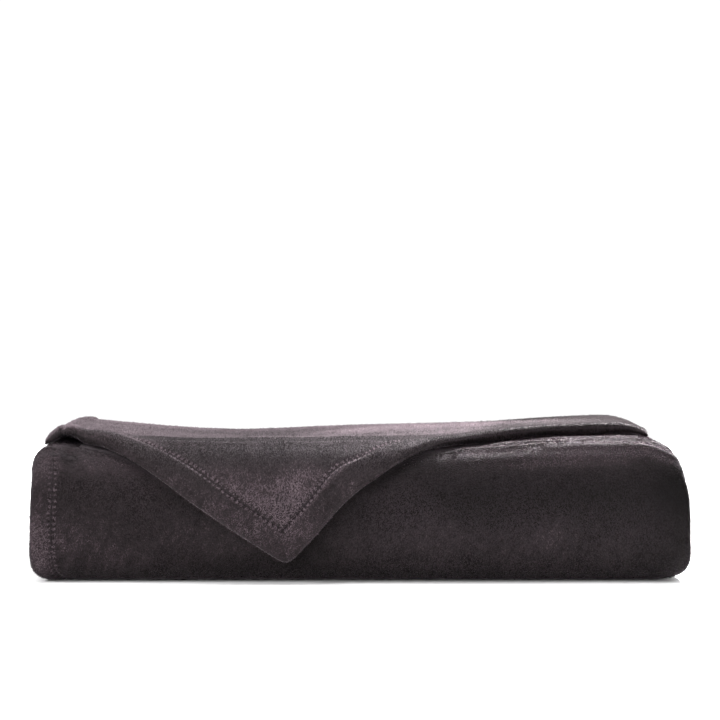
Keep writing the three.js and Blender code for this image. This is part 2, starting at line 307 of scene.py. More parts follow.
def ridge_rise(ridges, across, depth):
    """How far a table's ridges or creases rise at a place."""
    total = 0
    for middle, start, end, height, spread, fade in ridges:
        total = total + height * between(across, start, end, fade) * hill(depth, middle, spread)
    return total


def crease_rise(across, depth):
    """The creases in the layer below the top one die away where the corner's hem covers them."""
    hem_edge = FRONT + FRONT_RADIUS - reach_inside(across, 0)
    return ridge_rise(CREASES, across, depth) * smoothstep(hem_edge - depth, *CREASES_CLEAR_HEM)


def height_share(across, depth):
    """How much the upper layers rise or dip at a place, against their even spacing."""
    crown = 1 + CROWN_RISE - CROWN_FALL * (depth / (PARCEL_DEPTH / 2)) ** 2
    sway = 1 + TOP_SWAY * np.sin(across / TOP_SWAY_ACROSS + depth / TOP_SWAY_DEPTH)
    height = follow(TOP_HEIGHTS[:, 0], TOP_HEIGHTS[:, 1], across)
    return height / (TOP_HEIGHT + CLOTH / 2) * crown * sway


def bulge(across, depth, height):
    """How far the front swells forward."""
    near_front = smoothstep(-depth, FRONT_EASE, PARCEL_DEPTH / 2)
    belly = np.sin(np.pi * np.clip(height / TOP_HEIGHT, 0, 1)) ** 2
    swell = FRONT_BELLY
    for size, along, up, start in FRONT_WAVES:
        swell = swell + size * np.sin(across / along + height / up + start)
    return -near_front * belly * swell


def in_parcel(x, y, z, lift):
    """The even stack's point, moved to where the uneven one has it."""
    pressed = np.maximum(z, 0) * height_share(x, y) + lift
    return np.stack([x + 0 * y, y + bulge(x, y, z), pressed], -1)


def side_share(from_left, from_right):
    """Thickness against the plain cloth: the left edge is hemmed, the right one is rounded."""
    return read_table(LEFT_EDGE, from_left) * read_table(RIGHT_EDGE, from_right)


def side_roll(from_left):
    """How far the left hem stands out where it shows."""
    inside = np.clip(from_left / SIDE_HEM_WIDTH, 0, 1)
    return SIDE_ROLL * np.sin(np.pi * inside) ** ROLL_FULLNESS


def top_layer_line(along):
    """The line that the top layer follows from the back, over the front's rounding and straight
    down: its points and the angle that it has turned through."""
    radius = FRONT_RADIUS + CORNER_STANDS_OFF
    start = FRONT + FRONT_RADIUS
    angle = np.clip((along - STRAIGHT_TOP) / radius, 0, np.pi / 2)
    past = np.clip(along - STRAIGHT_TOP - radius * np.pi / 2, 0, None)
    y = np.where(along < STRAIGHT_TOP, BACK - along, start - radius * np.sin(angle))
    z = np.where(along < STRAIGHT_TOP, TOP_HEIGHT, TOP_HEIGHT - radius * (1 - np.cos(angle)) - past)
    return y, z, angle


def on_top_layer(from_left, behind, inward, side, off=0):
    """A point of the top layer: a distance from its left end, a share of the way from the hem to
    the back and a distance in from the hem's edge, on the outer (1) or inner (-1) face, moved off
    outwards."""
    across = reached_out(TOP_LEFT + from_left, inward + behind * STRAIGHT_TOP)
    along = (STRAIGHT_TOP + reach_inside(across, inward)) * (1 - behind)
    y, z, angle = top_layer_line(along)
    out_y, out_z = -np.sin(angle), np.cos(angle)
    curl = hem_curl(across, inward)
    outer = read_table(HEM_OUTER, inward) + curl + hem_fuller(across, inward)
    inner = read_table(HEM_INNER, inward) - curl + hem_sag(across, inward)
    from_end = np.minimum(from_left, TOP_WIDTH - from_left)
    slim = mix(1, mix(END_SLIM, 1, smoothstep(from_end, 0, SLIM_WITHIN)), near_hem(inward))
    edge = side_share(from_left, TOP_WIDTH - from_left) * slim
    shift = (outer * edge + side_roll(from_left) if side > 0 else -inner * edge) + off
    lift = np.where(y > FRONT, ridge_rise(RIDGES, across, y), 0)
    if side > 0:
        lift = lift + np.where(y > FRONT, ridge_rise(TOP_CREASES, across, y), 0)
    return in_parcel(across, y + shift * out_y, z + shift * out_z, lift)


def below_top_layer(row, share, side, off=0, shows=False):
    """A point of the rest of the cloth: row is (y, z, out y, out z), share runs along the parcel.
    Of its rows that show, the front ones look outwards with their inner face."""
    y, z, out_y, out_z = row
    left = follow(ENDS[:, 0], ENDS[:, 1], z)
    right = follow(ENDS[:, 0], ENDS[:, 2], z)
    edge = side_share(share * TOP_WIDTH, (1 - share) * TOP_WIDTH)
    shift = side * CLOTH / 2 * edge + off
    across = mix(left, right, share)
    if shows and side < 0:
        shift = shift - side_roll(share * TOP_WIDTH) * np.abs(out_y) * (y < 0)
    if shows:
        shift = shift + crease_rise(across, y) * np.minimum(out_z, 0)
    return in_parcel(across, y + shift * out_y, z + shift * out_z, 0)


def arc_rows(centre_y, centre_z, radius, start, end, steps):
    """Rows along an arc, without its first. Travelling it, the outer face looks to the left."""
    angle = np.radians(np.linspace(start, end, steps + 1)[1:])
    turn = 1 if end > start else -1
    outwards = [(math.cos(a), math.sin(a)) for a in angle]
    return [(centre_y + radius * y, centre_z + radius * z, -turn * y, -turn * z) for y, z in outwards]


def leg_rows(height, start, end, places):
    """Rows along a flat stretch at a height, at shares of the way from its start to its end."""
    forward = 1 if end > start else -1
    return [(mix(start, end, place), height, 0, forward) for place in places]


def face_rows(depth, start, end, steps):
    """Rows up or down the front face of a fold, between its two corners."""
    outwards = 1 if start > end else -1
    return [(depth, mix(start, end, step / steps), outwards, 0) for step in range(1, steps)]


def fold_rows(fold, corner_steps, face_steps):
    """Where one of the nested front folds starts to turn, and the rows round it: downwards for an
    even fold and upwards for an odd one."""
    half_height = (LAYERS - 1 - 2 * fold) * PITCH / 2
    radius = max(FRONT_RADIUS - fold * PITCH, min(half_height, TIGHT_RADIUS))
    middle = FRONT + fold * PITCH + radius
    top, bottom = layer_height(LAYERS - 1 - fold) - radius, layer_height(fold) + radius
    corners = [(top, 90, 180), (bottom, 180, 270)]
    if fold % 2:
        corners = [(height, end, start) for height, start, end in reversed(corners)]
    first, second = (
        arc_rows(middle, height, radius, start, end, corner_steps) for height, start, end in corners
    )
    face = face_rows(middle - radius, corners[0][0], corners[1][0], face_steps)
    if top - bottom < SHORTEST_FACE:
        face = []
    return middle, first + face + second


def turn_rows(start_layer, end_layer, inset, steps):
    """Rows round a turn at the back, which stops an inset short of the deepest one."""
    middle = (layer_height(start_layer) + layer_height(end_layer)) / 2
    start = 90 if start_layer > end_layer else -90
    return arc_rows(BACK - inset, middle, PITCH / 2, start, -start, steps)


def fine_rows():
    """The rows that show: the top turn at the back, the layer below the corner and the front face."""
    start, rows = fold_rows(0, FINE_CORNER, FINE_FACE)
    long = BACK - BACK_TURN_INSETS[0] - start
    places = 1 - graded([*BELOW_SPACING, (long, BELOW_LAST_SPACING)])[::-1] / long
    upper = LAYERS - 1
    leg = leg_rows(layer_height(upper), BACK - BACK_TURN_INSETS[0], start, places[1:])
    return turn_rows(LAYERS, upper, BACK_TURN_INSETS[0], FINE_TURN) + leg + rows


def coarse_rows():
    """The rows inside the stack, from the underside inwards."""
    rows = []
    for fold in range(NESTED_FOLDS):
        start, round_front = fold_rows(fold, COARSE_CORNER, COARSE_FACE)
        down = fold % 2 == 0
        if fold > 0:
            rows += round_front
        from_layer = fold if down else LAYERS - 1 - fold
        if fold == NESTED_FOLDS - 1:
            rows += leg_rows(layer_height(from_layer), start, BACK - LAST_END_INSET, COARSE_LEG)
            break
        inset = BACK_TURN_INSETS[fold + 1]
        rows += leg_rows(layer_height(from_layer), start, BACK - inset, COARSE_LEG)
        to_layer = from_layer + (1 if down else -1)
        rows += turn_rows(from_layer, to_layer, inset, COARSE_TURN)
        next_start = fold_rows(fold + 1, COARSE_CORNER, COARSE_FACE)[0]
        rows += leg_rows(layer_height(to_layer), BACK - inset, next_start, COARSE_LEG)
    return rows


def sheet_points():
    """Corners of the whole folded sheet: two faces of fine rows and two of coarse ones. Also which
    columns the coarse rows keep, and how many rows the top layer has."""
    across = graded(COLUMN_SPACING, COARSE_EVERY)
    shares = across / TOP_WIDTH
    hem = graded(HEM_SPACING)
    behind = graded(BEHIND_SPACING)
    behind = behind[1:] / behind[-1]
    lower = [np.array(row)[:, None] for row in fine_rows()]
    inside = [np.array(row)[:, None] for row in coarse_rows()]
    count = len(shares)
    kept = sorted({
        *range(COARSE_LEFT), *range(0, count, COARSE_EVERY), *range(count - COARSE_RIGHT, count),
    })
    faces = []
    for side in (1, -1):
        top = [on_top_layer(across, 0, inward, side) for inward in hem]
        top += [on_top_layer(across, share, hem[-1], side) for share in behind]
        faces.append(np.array(top + [below_top_layer(row, shares, side, shows=True) for row in lower]))
    for side in (1, -1):
        faces.append(np.array([below_top_layer(row, shares[kept], side) for row in inside]))
    return faces, kept, len(top)


def to_frame(points):
    """Millimetres of the fold, whose deepest back turn is half a parcel behind its middle, to
    metres of the frame."""
    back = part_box("blanket")[1][1]
    return np.asarray(points) * MM + np.array([0, back - PARCEL_DEPTH / 2 * MM, 0])


def grid_quads(first, rows, columns, flip=False):
    """Quads of one grid of corners, as rows of four numbers."""
    row, column = np.meshgrid(np.arange(rows - 1), np.arange(columns - 1), indexing="ij")
    start = (first + row * columns + column).ravel()
    quads = np.stack([start, start + 1, start + columns + 1, start + columns], -1)
    return quads[:, ::-1] if flip else quads


def strip_quads(first_line, second_line, flip=False):
    """Quads between two lines of corners, facing away from their direction to the left."""
    quads = np.stack([first_line[:-1], first_line[1:], second_line[1:], second_line[:-1]], -1)
    return quads[:, ::-1] if flip else quads


def join_polygons(fine_line, coarse_line, kept, flip):
    """Polygons between the last fine row and the first coarse one, which has fewer columns."""
    polygons = []
    for number, (low, high) in enumerate(zip(kept[:-1], kept[1:])):
        polygon = [fine_line + column for column in range(low, high + 1)]
        polygon += [coarse_line + number + 1, coarse_line + number]
        polygons.append(polygon[::-1] if flip else polygon)
    return polygons


def sheet_mesh():
    """The blanket as one closed mesh: fine rows, then coarse ones that share an edge with them.
    Also how many of its corners are on the top layer's outer face, which come first."""
    faces, kept, top_rows = sheet_points()
    rows, columns = faces[0].shape[:2]
    inner_rows, inner_columns = faces[2].shape[:2]
    outer, inner, outer_in, inner_in = np.cumsum([0] + [f.shape[0] * f.shape[1] for f in faces])[:4]
    quads = [
        grid_quads(outer, rows, columns),
        grid_quads(inner, rows, columns, True),
        grid_quads(outer_in, inner_rows, inner_columns),
        grid_quads(inner_in, inner_rows, inner_columns, True),
    ]
    for column, inner_column, flip in ((0, 0, False), (columns - 1, inner_columns - 1, True)):
        lines = []
        for first, first_in in ((outer, outer_in), (inner, inner_in)):
            fine = first + np.arange(rows) * columns + column
            coarse = first_in + np.arange(inner_rows) * inner_columns + inner_column
            lines.append(np.concatenate([fine, coarse]))
        quads.append(strip_quads(*lines, flip))
    hem_row = np.arange(columns)
    last_row = (inner_rows - 1) * inner_columns + np.arange(inner_columns)
    quads.append(strip_quads(outer + hem_row, inner + hem_row, True))
    quads.append(strip_quads(outer_in + last_row, inner_in + last_row))
    polygons = np.concatenate(quads).tolist()
    last_fine = (rows - 1) * columns
    polygons += join_polygons(outer + last_fine, outer_in, kept, False)
    polygons += join_polygons(inner + last_fine, inner_in, kept, True)
    points = to_frame(np.concatenate([f.reshape(-1, 3) for f in faces]))
    return points, polygons, top_rows * columns


def link_piece(name, mesh):
    piece = bpy.data.objects.new(name, mesh)
    bpy.context.collection.objects.link(piece)
    return piece


def polygon_mesh(name, points, polygons, material):
    """A smooth piece of corners and polygons."""
    mesh = bpy.data.meshes.new(name)
    mesh.from_pydata([tuple(p) for p in points.tolist()], [], polygons)
    mesh.polygons.foreach_set("use_smooth", np.ones(len(polygons), bool))
    mesh.materials.append(material)
    mesh.update()
    return link_piece(name, mesh)


def triangle_mesh(name, points, triangles, material, normals=None):
    """A piece made straight from arrays, for the many small things."""
    mesh = bpy.data.meshes.new(name)
    mesh.vertices.add(len(points))
    mesh.vertices.foreach_set("co", points.astype(np.float32).ravel())
    mesh.loops.add(triangles.size)
    mesh.loops.foreach_set("vertex_index", triangles.astype(np.int32).ravel())
    mesh.polygons.add(len(triangles))
    mesh.polygons.foreach_set("loop_start", np.arange(0, triangles.size, 3, dtype=np.int32))
    mesh.polygons.foreach_set("use_smooth", np.ones(len(triangles), bool))
    mesh.materials.append(material)
    mesh.update(calc_edges=True)
    if normals is not None:
        mesh.normals_split_custom_set_from_vertices(normals.tolist())
    piece = link_piece(name, mesh)
    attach(piece, "root")
    return piece


# The cloth's own colour: patches and a fine grain, between a dark tone and a light one
CLOTH_DARK = (0.009, 0.0076, 0.0078, 1)
CLOTH_LIGHT = (0.027, 0.020, 0.023, 1)
# the darkest that the painted shade makes the cloth's own colour
CLOTH_SHADED = (0.003, 0.0026, 0.0027, 1)
DARK_AT = 0.3
LIGHT_AT = 0.75
PATCH_SCALE = 14
PATCH_DETAIL = 4
PATCH_WEIGHT = 0.55
GRAIN_SCALE = 620
GRAIN_DETAIL = 3
GRAIN_WEIGHT = 0.45
GRAIN_STRENGTH = 0.7
GRAIN_HEIGHT = 0.0012
CLOTH_FINISH = {
    "Roughness": 0.9, "Specular IOR Level": 0.1,
    "Sheen Weight": 0.3, "Sheen Roughness": 0.4, "Sheen Tint": (0.62, 0.53, 0.58, 1),
}
# What the pile and the thread share
FIBRE_FINISH = {
    "Roughness": 1.0, "Specular IOR Level": 0.0,
    "Sheen Roughness": 0.4, "Sheen Tint": (0.66, 0.58, 0.63, 1),
}
THREAD_COLOUR = (0.010, 0.008, 0.009)
THREAD_SHEEN = 0.1


def new_material(name, finish):
    """A material with a finish set on its shader. Also that shader, its nodes and its links."""
    material = bpy.data.materials.new(name)
    material.use_nodes = True
    shader = material.node_tree.nodes["Principled BSDF"]
    for socket, value in finish.items():
        shader.inputs[socket].default_value = value
    return material, shader, material.node_tree.nodes, material.node_tree.links


def noise_node(nodes, links, place, scale, detail):
    noise = nodes.new("ShaderNodeTexNoise")
    noise.inputs["Scale"].default_value = scale
    noise.inputs["Detail"].default_value = detail
    links.new(place.outputs["Object"], noise.inputs["Vector"])
    return noise


def weighted_sum(nodes, links, first, first_weight, second, second_weight):
    """The sum of two noises, each times its weight."""
    part = nodes.new("ShaderNodeMath")
    part.operation = "MULTIPLY"
    part.inputs[1].default_value = second_weight
    links.new(second.outputs["Fac"], part.inputs[0])
    total = nodes.new("ShaderNodeMath")
    total.operation = "MULTIPLY_ADD"
    total.inputs[1].default_value = first_weight
    links.new(first.outputs["Fac"], total.inputs[0])
    links.new(part.outputs[0], total.inputs[2])
    return total


def shaded_colour(nodes, links, colour):
    """A colour, darkened by the mesh's own painted "shade"."""
    shade = nodes.new("ShaderNodeAttribute")
    shade.attribute_name = "shade"
    darker = nodes.new("ShaderNodeMix")
    darker.data_type = "RGBA"
    factor, unshaded, shaded = (
        next(socket for socket in darker.inputs if socket.enabled and socket.name == name)
        for name in ("Factor", "A", "B")
    )
    shaded.default_value = CLOTH_SHADED
    links.new(shade.outputs["Fac"], factor)
    links.new(colour, unshaded)
    return next(socket for socket in darker.outputs if socket.enabled)


def fleece_material():
    material, shader, nodes, links = new_material("fleece", CLOTH_FINISH)
    place = nodes.new("ShaderNodeTexCoord")
    patches = noise_node(nodes, links, place, PATCH_SCALE, PATCH_DETAIL)
    grain = noise_node(nodes, links, place, GRAIN_SCALE, GRAIN_DETAIL)
    blend = weighted_sum(nodes, links, grain, GRAIN_WEIGHT, patches, PATCH_WEIGHT)
    tone = nodes.new("ShaderNodeValToRGB")
    for element, at, colour in zip(
        tone.color_ramp.elements, (DARK_AT, LIGHT_AT), (CLOTH_DARK, CLOTH_LIGHT)
    ):
        element.position = at
        element.color = colour
    links.new(blend.outputs[0], tone.inputs["Fac"])
    links.new(shaded_colour(nodes, links, tone.outputs["Color"]), shader.inputs["Base Color"])
    bump = nodes.new("ShaderNodeBump")
    bump.inputs["Strength"].default_value = GRAIN_STRENGTH
    bump.inputs["Distance"].default_value = GRAIN_HEIGHT
    links.new(grain.outputs["Fac"], bump.inputs["Height"])
    links.new(bump.outputs["Normal"], shader.inputs["Normal"])
    return material


def fibre_material(name, colour, sheen):
    finish = {**FIBRE_FINISH, "Base Color": (*colour, 1), "Sheen Weight": sheen}
    return new_material(name, finish)[0]


# The seams: short stitches that lie in the groove beside each hem
STITCH = 3.4
STITCH_PITCH = 5.2
STITCH_RADIUS = 0.45
STITCH_SIDES = 6
STITCH_LIES = 0.15  # above the groove
STITCH_RINGS = [(0, 0.3), (0.2, 1), (0.8, 1), (1, 0.3)]  # share of its length, of its radius
STITCH_TURNS = (0.3, -0.8, 0.5)  # a direction that no seam runs in
LINE_STEPS = 1500
SEAM_ENDS_EARLY = 3  # before the tip and the right end
FRONT_SEAM_STARTS = 40  # behind the start of the front's rounding


def even_steps(points_at, pitch):
    """Shares of the way along a line at which its points lie a pitch apart, and its length."""
    share = np.linspace(0, 1, LINE_STEPS)
    line = points_at(share)
    gone = np.concatenate([[0], np.cumsum(np.linalg.norm(np.diff(line, axis=0), axis=1))])
    return np.interp(np.arange(pitch / 2, gone[-1], pitch), gone, share), gone[-1]


def seam_lines():
    """The lines of sewing: both sides of the corner's hem, and the side hem down the front and
    over the top."""
    tip = CORNER_ACROSS - TOP_LEFT - SEAM_ENDS_EARLY
    side_hem = SIDE_HEM_WIDTH / TOP_WIDTH
    lower = np.array(fine_rows())
    front = lower[lower[:, 0] < FRONT + FRONT_RADIUS + FRONT_SEAM_STARTS]
    order = np.linspace(0, 1, len(front))

    def left_hem(share):
        return on_top_layer(mix(SIDE_HEM_WIDTH, tip, share), 0, HEM_WIDTH, 1, STITCH_LIES)

    def right_hem(share):
        from_left = mix(tip, TOP_WIDTH - SEAM_ENDS_EARLY, share)
        return on_top_layer(from_left, 0, HEM_WIDTH, 1, STITCH_LIES)

    def down_front(share):
        row = [np.interp(share, order, front[:, column]) for column in range(4)]
        return below_top_layer(row, side_hem, -1, -STITCH_LIES, shows=True)

    def top_side_hem(share):
        return on_top_layer(SIDE_HEM_WIDTH, share, HEM_WIDTH, 1, STITCH_LIES)

    return [left_hem, right_hem, down_front, top_side_hem]


def ring_points(start, end):
    """The corners of one stitch, ring by ring from its start to its end."""
    along = (end - start) / np.linalg.norm(end - start)
    side = np.cross(along, STITCH_TURNS)
    side /= np.linalg.norm(side)
    up = np.cross(side, along)
    points = []
    for share, radius in STITCH_RINGS:
        for a in np.linspace(0, 2 * np.pi, STITCH_SIDES, endpoint=False):
            out = side * math.cos(a) + up * math.sin(a)
            points.append(mix(start, end, share) + STITCH_RADIUS * radius * out)
    return points


def ring_triangles(first):
    """The triangles between the rings of one stitch, whose corners start at a number."""
    triangles = []
    for ring in range(len(STITCH_RINGS) - 1):
        for number in range(STITCH_SIDES):
            a = first + ring * STITCH_SIDES + number
            b = first + ring * STITCH_SIDES + (number + 1) % STITCH_SIDES
            triangles += [(a, b, b + STITCH_SIDES), (a, b + STITCH_SIDES, a + STITCH_SIDES)]
    return triangles


def make_stitches():
    """Every stitch of every seam: rings of corners along it, drawn in at both its ends."""
    points, triangles = [], []
    for line in seam_lines():
        middles, length = even_steps(line, STITCH_PITCH)
        half = STITCH / 2 / length
        for start, end in zip(line(middles - half), line(middles + half)):
            triangles += ring_triangles(len(points))
            points += ring_points(start, end)
    material = fibre_material("thread", THREAD_COLOUR, THREAD_SHEEN)
    return triangle_mesh("stitches", to_frame(points), np.array(triangles), material)


# The pile: short tufts on every part of the cloth that nothing lies close above. Its sizes are in
# millimetres
TUFTS = 710000
PILE_SEED = 11
TUFT_LENGTH = (1.3, 2.6)
TUFT_WIDTH = 0.8
TUFT_SINKS = 0.3
TUFT_TWIST = 0.3  # of its foot, out of the cloth
TUFT_LEAN = (1.4, 4.0)  # along the cloth, for each step out of it
STRAY_SHARE = 0.05  # of the tufts stand up
STRAY_LEAN = 0.5
FREE_ABOVE = 5.5
LOWEST_PILE = 0.0025  # metres above the floor
RAY_STARTS = 0.0003  # metres off the cloth
ENDS_FROM = 0.9  # of the way to the parcel's ends, the pile is looked for outwards too
ENDS_LOOK_OUT = 1.2

# Which way it lies
SWIRL = 0.9  # radians, to both sides
SWIRL_SIZE = 38
SWIRL_SEED = 5
NAP_BACK = 0.7
NAP_UNEVEN = 0.45

# Which way its normals look, beside the cloth's own direction
NAP_SHADES = 0.25  # up or down
SHADING_UNEVEN = 0.16
LUMPS_SHADE = 0.12
LUMPS = (11, 12, 13)  # size and seed for each direction
LUMPS_SLANT = 0.5

# Where the sewing presses it down, and the painted highlights of the beads beside it
CLEAR_OF_SEAM = 1.5
PITS_AT_STITCHES = 0.55  # that much more at a stitch, and less between two
BEADS_PAINTED_HIGHLIGHT = 3.6
BEADS_AWAY = 2.6
BEADS_WITHIN = 1.2
BEADS_JOIN = 0.3

# Patches in its tone: size, strength, seed
PATCHES = [(42, 0.4, 7), (8, 0.35, 8), (3.2, 0.32, 9)]
PATCHES_NARROW = 1.5
PATCHES_SLANT = 0.4
PATCHES_FADE = 0.5  # where it looks up
CHANCE_IN_TONE = 0.3

# Painted light and shade in the top layer's pile, as steps from darker to lighter
TOP_PAINTED_LIGHT = 0.8
FLAP_PAINTED_LIGHT = 0.5
HEM_PAINTED_SHADE = 1.0
ROUNDING_PAINTED_SHADE = 1.8
RIGHT_END_PAINTED_SHADE = 1.0
RIDGES_PAINTED_HIGHLIGHT = 0.3

# Painted light, shade and shadow below the top layer
LEDGE_PAINTED_LIGHT = 2.9
LEDGE_AT_LEFT = 0.7  # of that, at the left of the ledge
LEDGE_TO_RIGHT = 0.4  # and so much more at its right
LEE_PAINTED_SHADOW = 1.5
FRONT_RIGHT_PAINTED_SHADE = 0.9
EDGE_PAINTED_SHADE = 1.0
CREASES_PAINTED_LIGHT = 0.6

# On both: painted light, and the lighter strip at the left end
FOOT_PAINTED_LIGHT = 0.8
STRIP_IS_LIGHTER = 0.75
LEFT_PAINTED_LIGHT = 0.6
# painted highlight from this rise of a ridge or crease on, and painted shade below it
PAINTED_LIGHT_FROM_RISE = 1.2  # from this rise of a ridge or crease on, and below it darker

# How much painted shade and painted shadow darken the cloth's own colour
LEE_SHADE = 0.9
BAND_SHADE = 0.45
EDGE_SHADE = 0.7

# The places that those tones start and end at. Upwards is a share of the direction, across and
# depth are places in the parcel, and reach is the way past the start of the front's rounding
LOOKS_UP = (0.25, 0.85)
HANGING_REACH = (0, 60)
HEM_INSIDE = (-1.3 * HEM_WIDTH, -HEM_WIDTH)
ROUNDING_FROM = (-82, -66)
ROUNDING_TO = (-10, 60)
ROUNDING_ACROSS = (-212, 65, 40)
RIGHT_END_ACROSS = (85, 165)
RIGHT_END_DEPTH = (-90, -50)
LEDGE_ACROSS = (90, 230)
FRONT_RIGHT_ACROSS = (0, 120)
EDGE_ACROSS = (235, 300)
FRONT_REACH = (0, 20)
LEFT_ACROSS = (100, 260)
RIGHT_OF_CORNER = (CORNER_ACROSS - 10, CORNER_ACROSS + 20)
# the painted shadow reaches this far
LEE_REACHES = 18  # to both sides of the hem's edge
LEE_STARTS = (-45, -15)
BAND = (85, 22)  # height and spread
FOOT = (40, 25)

# Lit and shaded copies of one pile: painted light and shade, patches and chance choose each tuft's tone
# From the darkest pile to the lightest: piece, colour, sheen, share of the tufts
PILE_TONES = [
    ("pile_darkest", (0.006, 0.0052, 0.0051), 0.1, 0.27),
    ("pile_dark", (0.0125, 0.0106, 0.0107), 0.12, 0.23),
    ("pile_light", (0.028, 0.0215, 0.0237), 0.2, 0.18),
    ("pile_lighter", (0.053, 0.0395, 0.0445), 0.2, 0.16),
    ("pile_lightest", (0.098, 0.074, 0.084), 0.24, 0.16),
]
LATTICE = 256  # after so many lumps the noise repeats


def lattice_noise(u, v, size, seed):
    """Smooth noise between -1 and 1 over the plane, with lumps of the given size."""
    values = np.random.default_rng(seed).uniform(-1, 1, (LATTICE, LATTICE))
    u, v = np.asarray(u) / size, np.asarray(v) / size
    iu, iv = np.floor(u).astype(int), np.floor(v).astype(int)
    fu, fv = smoothstep(u - iu, 0, 1), smoothstep(v - iv, 0, 1)
    left, right = iu % LATTICE, (iu + 1) % LATTICE
    near, far = iv % LATTICE, (iv + 1) % LATTICE
    near_side = mix(values[left, near], values[right, near], fu)
    far_side = mix(values[left, far], values[right, far], fu)
    return mix(near_side, far_side, fv)


def unit(vectors):
    return vectors / (np.linalg.norm(vectors, axis=1, keepdims=True) + 1e-9)


def read_values(collection, name, kind=np.float32, width=3):
    """One property of every item of a mesh's collection, as an array with a row for each."""
    values = np.empty(len(collection) * width, kind)
    collection.foreach_get(name, values)
    return values.reshape(-1, width)


def bare_triangles(cloth):
    """The cloth's triangles that have nothing close above them: corners, their numbers, their
    normals and the triangles' areas."""
    mesh = cloth.data
    mesh.calc_loop_triangles()
    numbers = read_values(mesh.loop_triangles, "vertices", np.int32)
    area = read_values(mesh.loop_triangles, "area", width=1)[:, 0]
    points = read_values(mesh.vertices, "co")
    normals = read_values(mesh.vertex_normals, "vector")
    tree = BVHTree.FromPolygons(points.tolist(), numbers.tolist())
    middles = points[numbers].mean(1)
    facing = unit(normals[numbers].mean(1))
    near_end = np.abs(middles[:, 0]) > ENDS_FROM * np.abs(points[:, 0]).max()
    sideways = np.where(near_end, np.sign(middles[:, 0]), 0)[:, None] * [ENDS_LOOK_OUT, 0, 0]
    outwards = unit(facing + sideways)
    bare = []
    for number in np.flatnonzero(middles[:, 2] > LOWEST_PILE):
        start = Vector(middles[number] + facing[number] * RAY_STARTS)
        if tree.ray_cast(start, Vector(outwards[number]), FREE_ABOVE * MM)[0] is None:
            bare.append(number)
    return points[numbers[bare]], numbers[bare], normals[numbers[bare]], area[bare]


def tuft_places(cloth, top_corners, rng):
    """Even, random places on the bare cloth, with the direction that each looks in, and 1 on the
    top layer's outer face or -1 elsewhere."""
    corners, numbers, normals, area = bare_triangles(cloth)
    chosen = rng.choice(len(area), TUFTS, p=area / area.sum())
    u, v = rng.random(TUFTS), rng.random(TUFTS)
    over = u + v > 1
    u[over], v[over] = 1 - u[over], 1 - v[over]
    share = np.stack([1 - u - v, u, v], -1)[:, :, None]
    facing = unit((normals[chosen] * share).sum(1))
    on_top = np.where(numbers[chosen].max(1) < top_corners, 1, -1)
    return (corners[chosen] * share).sum(1), facing, on_top


def seam_distance(places):
    """How far each place is from the nearest line of sewing, and how far along it that is, in
    stitches."""
    middles = [to_frame(line(even_steps(line, 1)[0])) for line in seam_lines()]
    tree = KDTree(sum(len(line) for line in middles))
    steps = np.concatenate([np.arange(len(line)) for line in middles]) / STITCH_PITCH
    for number, point in enumerate(np.concatenate(middles)):
        tree.insert(point, number)
    tree.balance()
    nearest = [tree.find(place) for place in places]
    away = np.array([distance for _, _, distance in nearest]) / MM
    return away, steps[[number for _, number, _ in nearest]]


def tuft_points(places, facing, on_top, rng):
    """Three corners a tuft, two in the cloth and one at its tip, and the normals to shade them
    with. The pile lies upwards and back on the top layer, and downwards elsewhere."""
    across, depth, height = places.T / MM
    swirl = SWIRL * lattice_noise(across + height, depth - height, SWIRL_SIZE, SWIRL_SEED)
    nap = np.stack([np.sin(swirl), NAP_BACK * np.cos(swirl), np.cos(swirl)], -1) * on_top[:, None]
    nap += rng.normal(0, NAP_UNEVEN, nap.shape)
    nap -= (nap * facing).sum(1, keepdims=True) * facing
    lean = rng.uniform(*TUFT_LEAN, len(places))[:, None]
    lean[rng.random(len(places)) < STRAY_SHARE] = STRAY_LEAN
    tips = unit(facing + lean * unit(nap))
    length = rng.uniform(*TUFT_LENGTH, len(places))[:, None] * MM
    twist = facing * rng.normal(0, TUFT_TWIST, len(places))[:, None]
    side = unit(np.cross(facing, tips)) + twist
    foot = places - facing * TUFT_SINKS * MM
    half = side * TUFT_WIDTH / 2 * MM
    corners = np.stack([foot + half, foot - half, places + tips * length], 1)
    lumps = [
        lattice_noise(across + LUMPS_SLANT * height, depth - height, size, size) for size in LUMPS
    ]
    upwards = (on_top * NAP_SHADES)[:, None] * [0, 0, 1] + rng.normal(0, SHADING_UNEVEN, nap.shape)
    shading = unit(facing + upwards + LUMPS_SHADE * np.stack(lumps, -1))
    return corners, np.repeat(shading[:, None], 3, 1)


def reach_of(depth, height):
    """How far past the start of the front's rounding a place on the parcel is, over the top."""
    radius = FRONT_RADIUS + CORNER_STANDS_OFF
    forward = FRONT + FRONT_RADIUS - depth
    above = height - (TOP_HEIGHT - radius)
    angle = np.arctan2(forward, np.maximum(above, 0))
    return np.where(forward < 0, forward, radius * angle + np.maximum(-above, 0))


def past_hem_edge(across, reach):
    """How far a place is in front of the edge of the corner's hem."""
    return reach - np.minimum(*hem_lines(across, 0))


def painted_shadow_share(across, reach):
    """How deep a place is in the painted shadow to the right of the corner's edge."""
    beside = smoothstep(across, *RIGHT_OF_CORNER)
    return beside * np.exp(-np.abs(past_hem_edge(across, reach)) / LEE_REACHES)


def painted_shade_band(across, height):
    """1 in the band of painted shade along the front, right of its middle."""
    return smoothstep(across, *FRONT_RIGHT_ACROSS) * hill(height, *BAND)


def patch_tone(across, depth, height):
    """Patches of several sizes, whose pile was brushed one way or the other."""
    u, v = PATCHES_NARROW * across - PATCHES_SLANT * height, depth + height
    return sum(strength * lattice_noise(u, v, size, seed) for size, strength, seed in PATCHES)


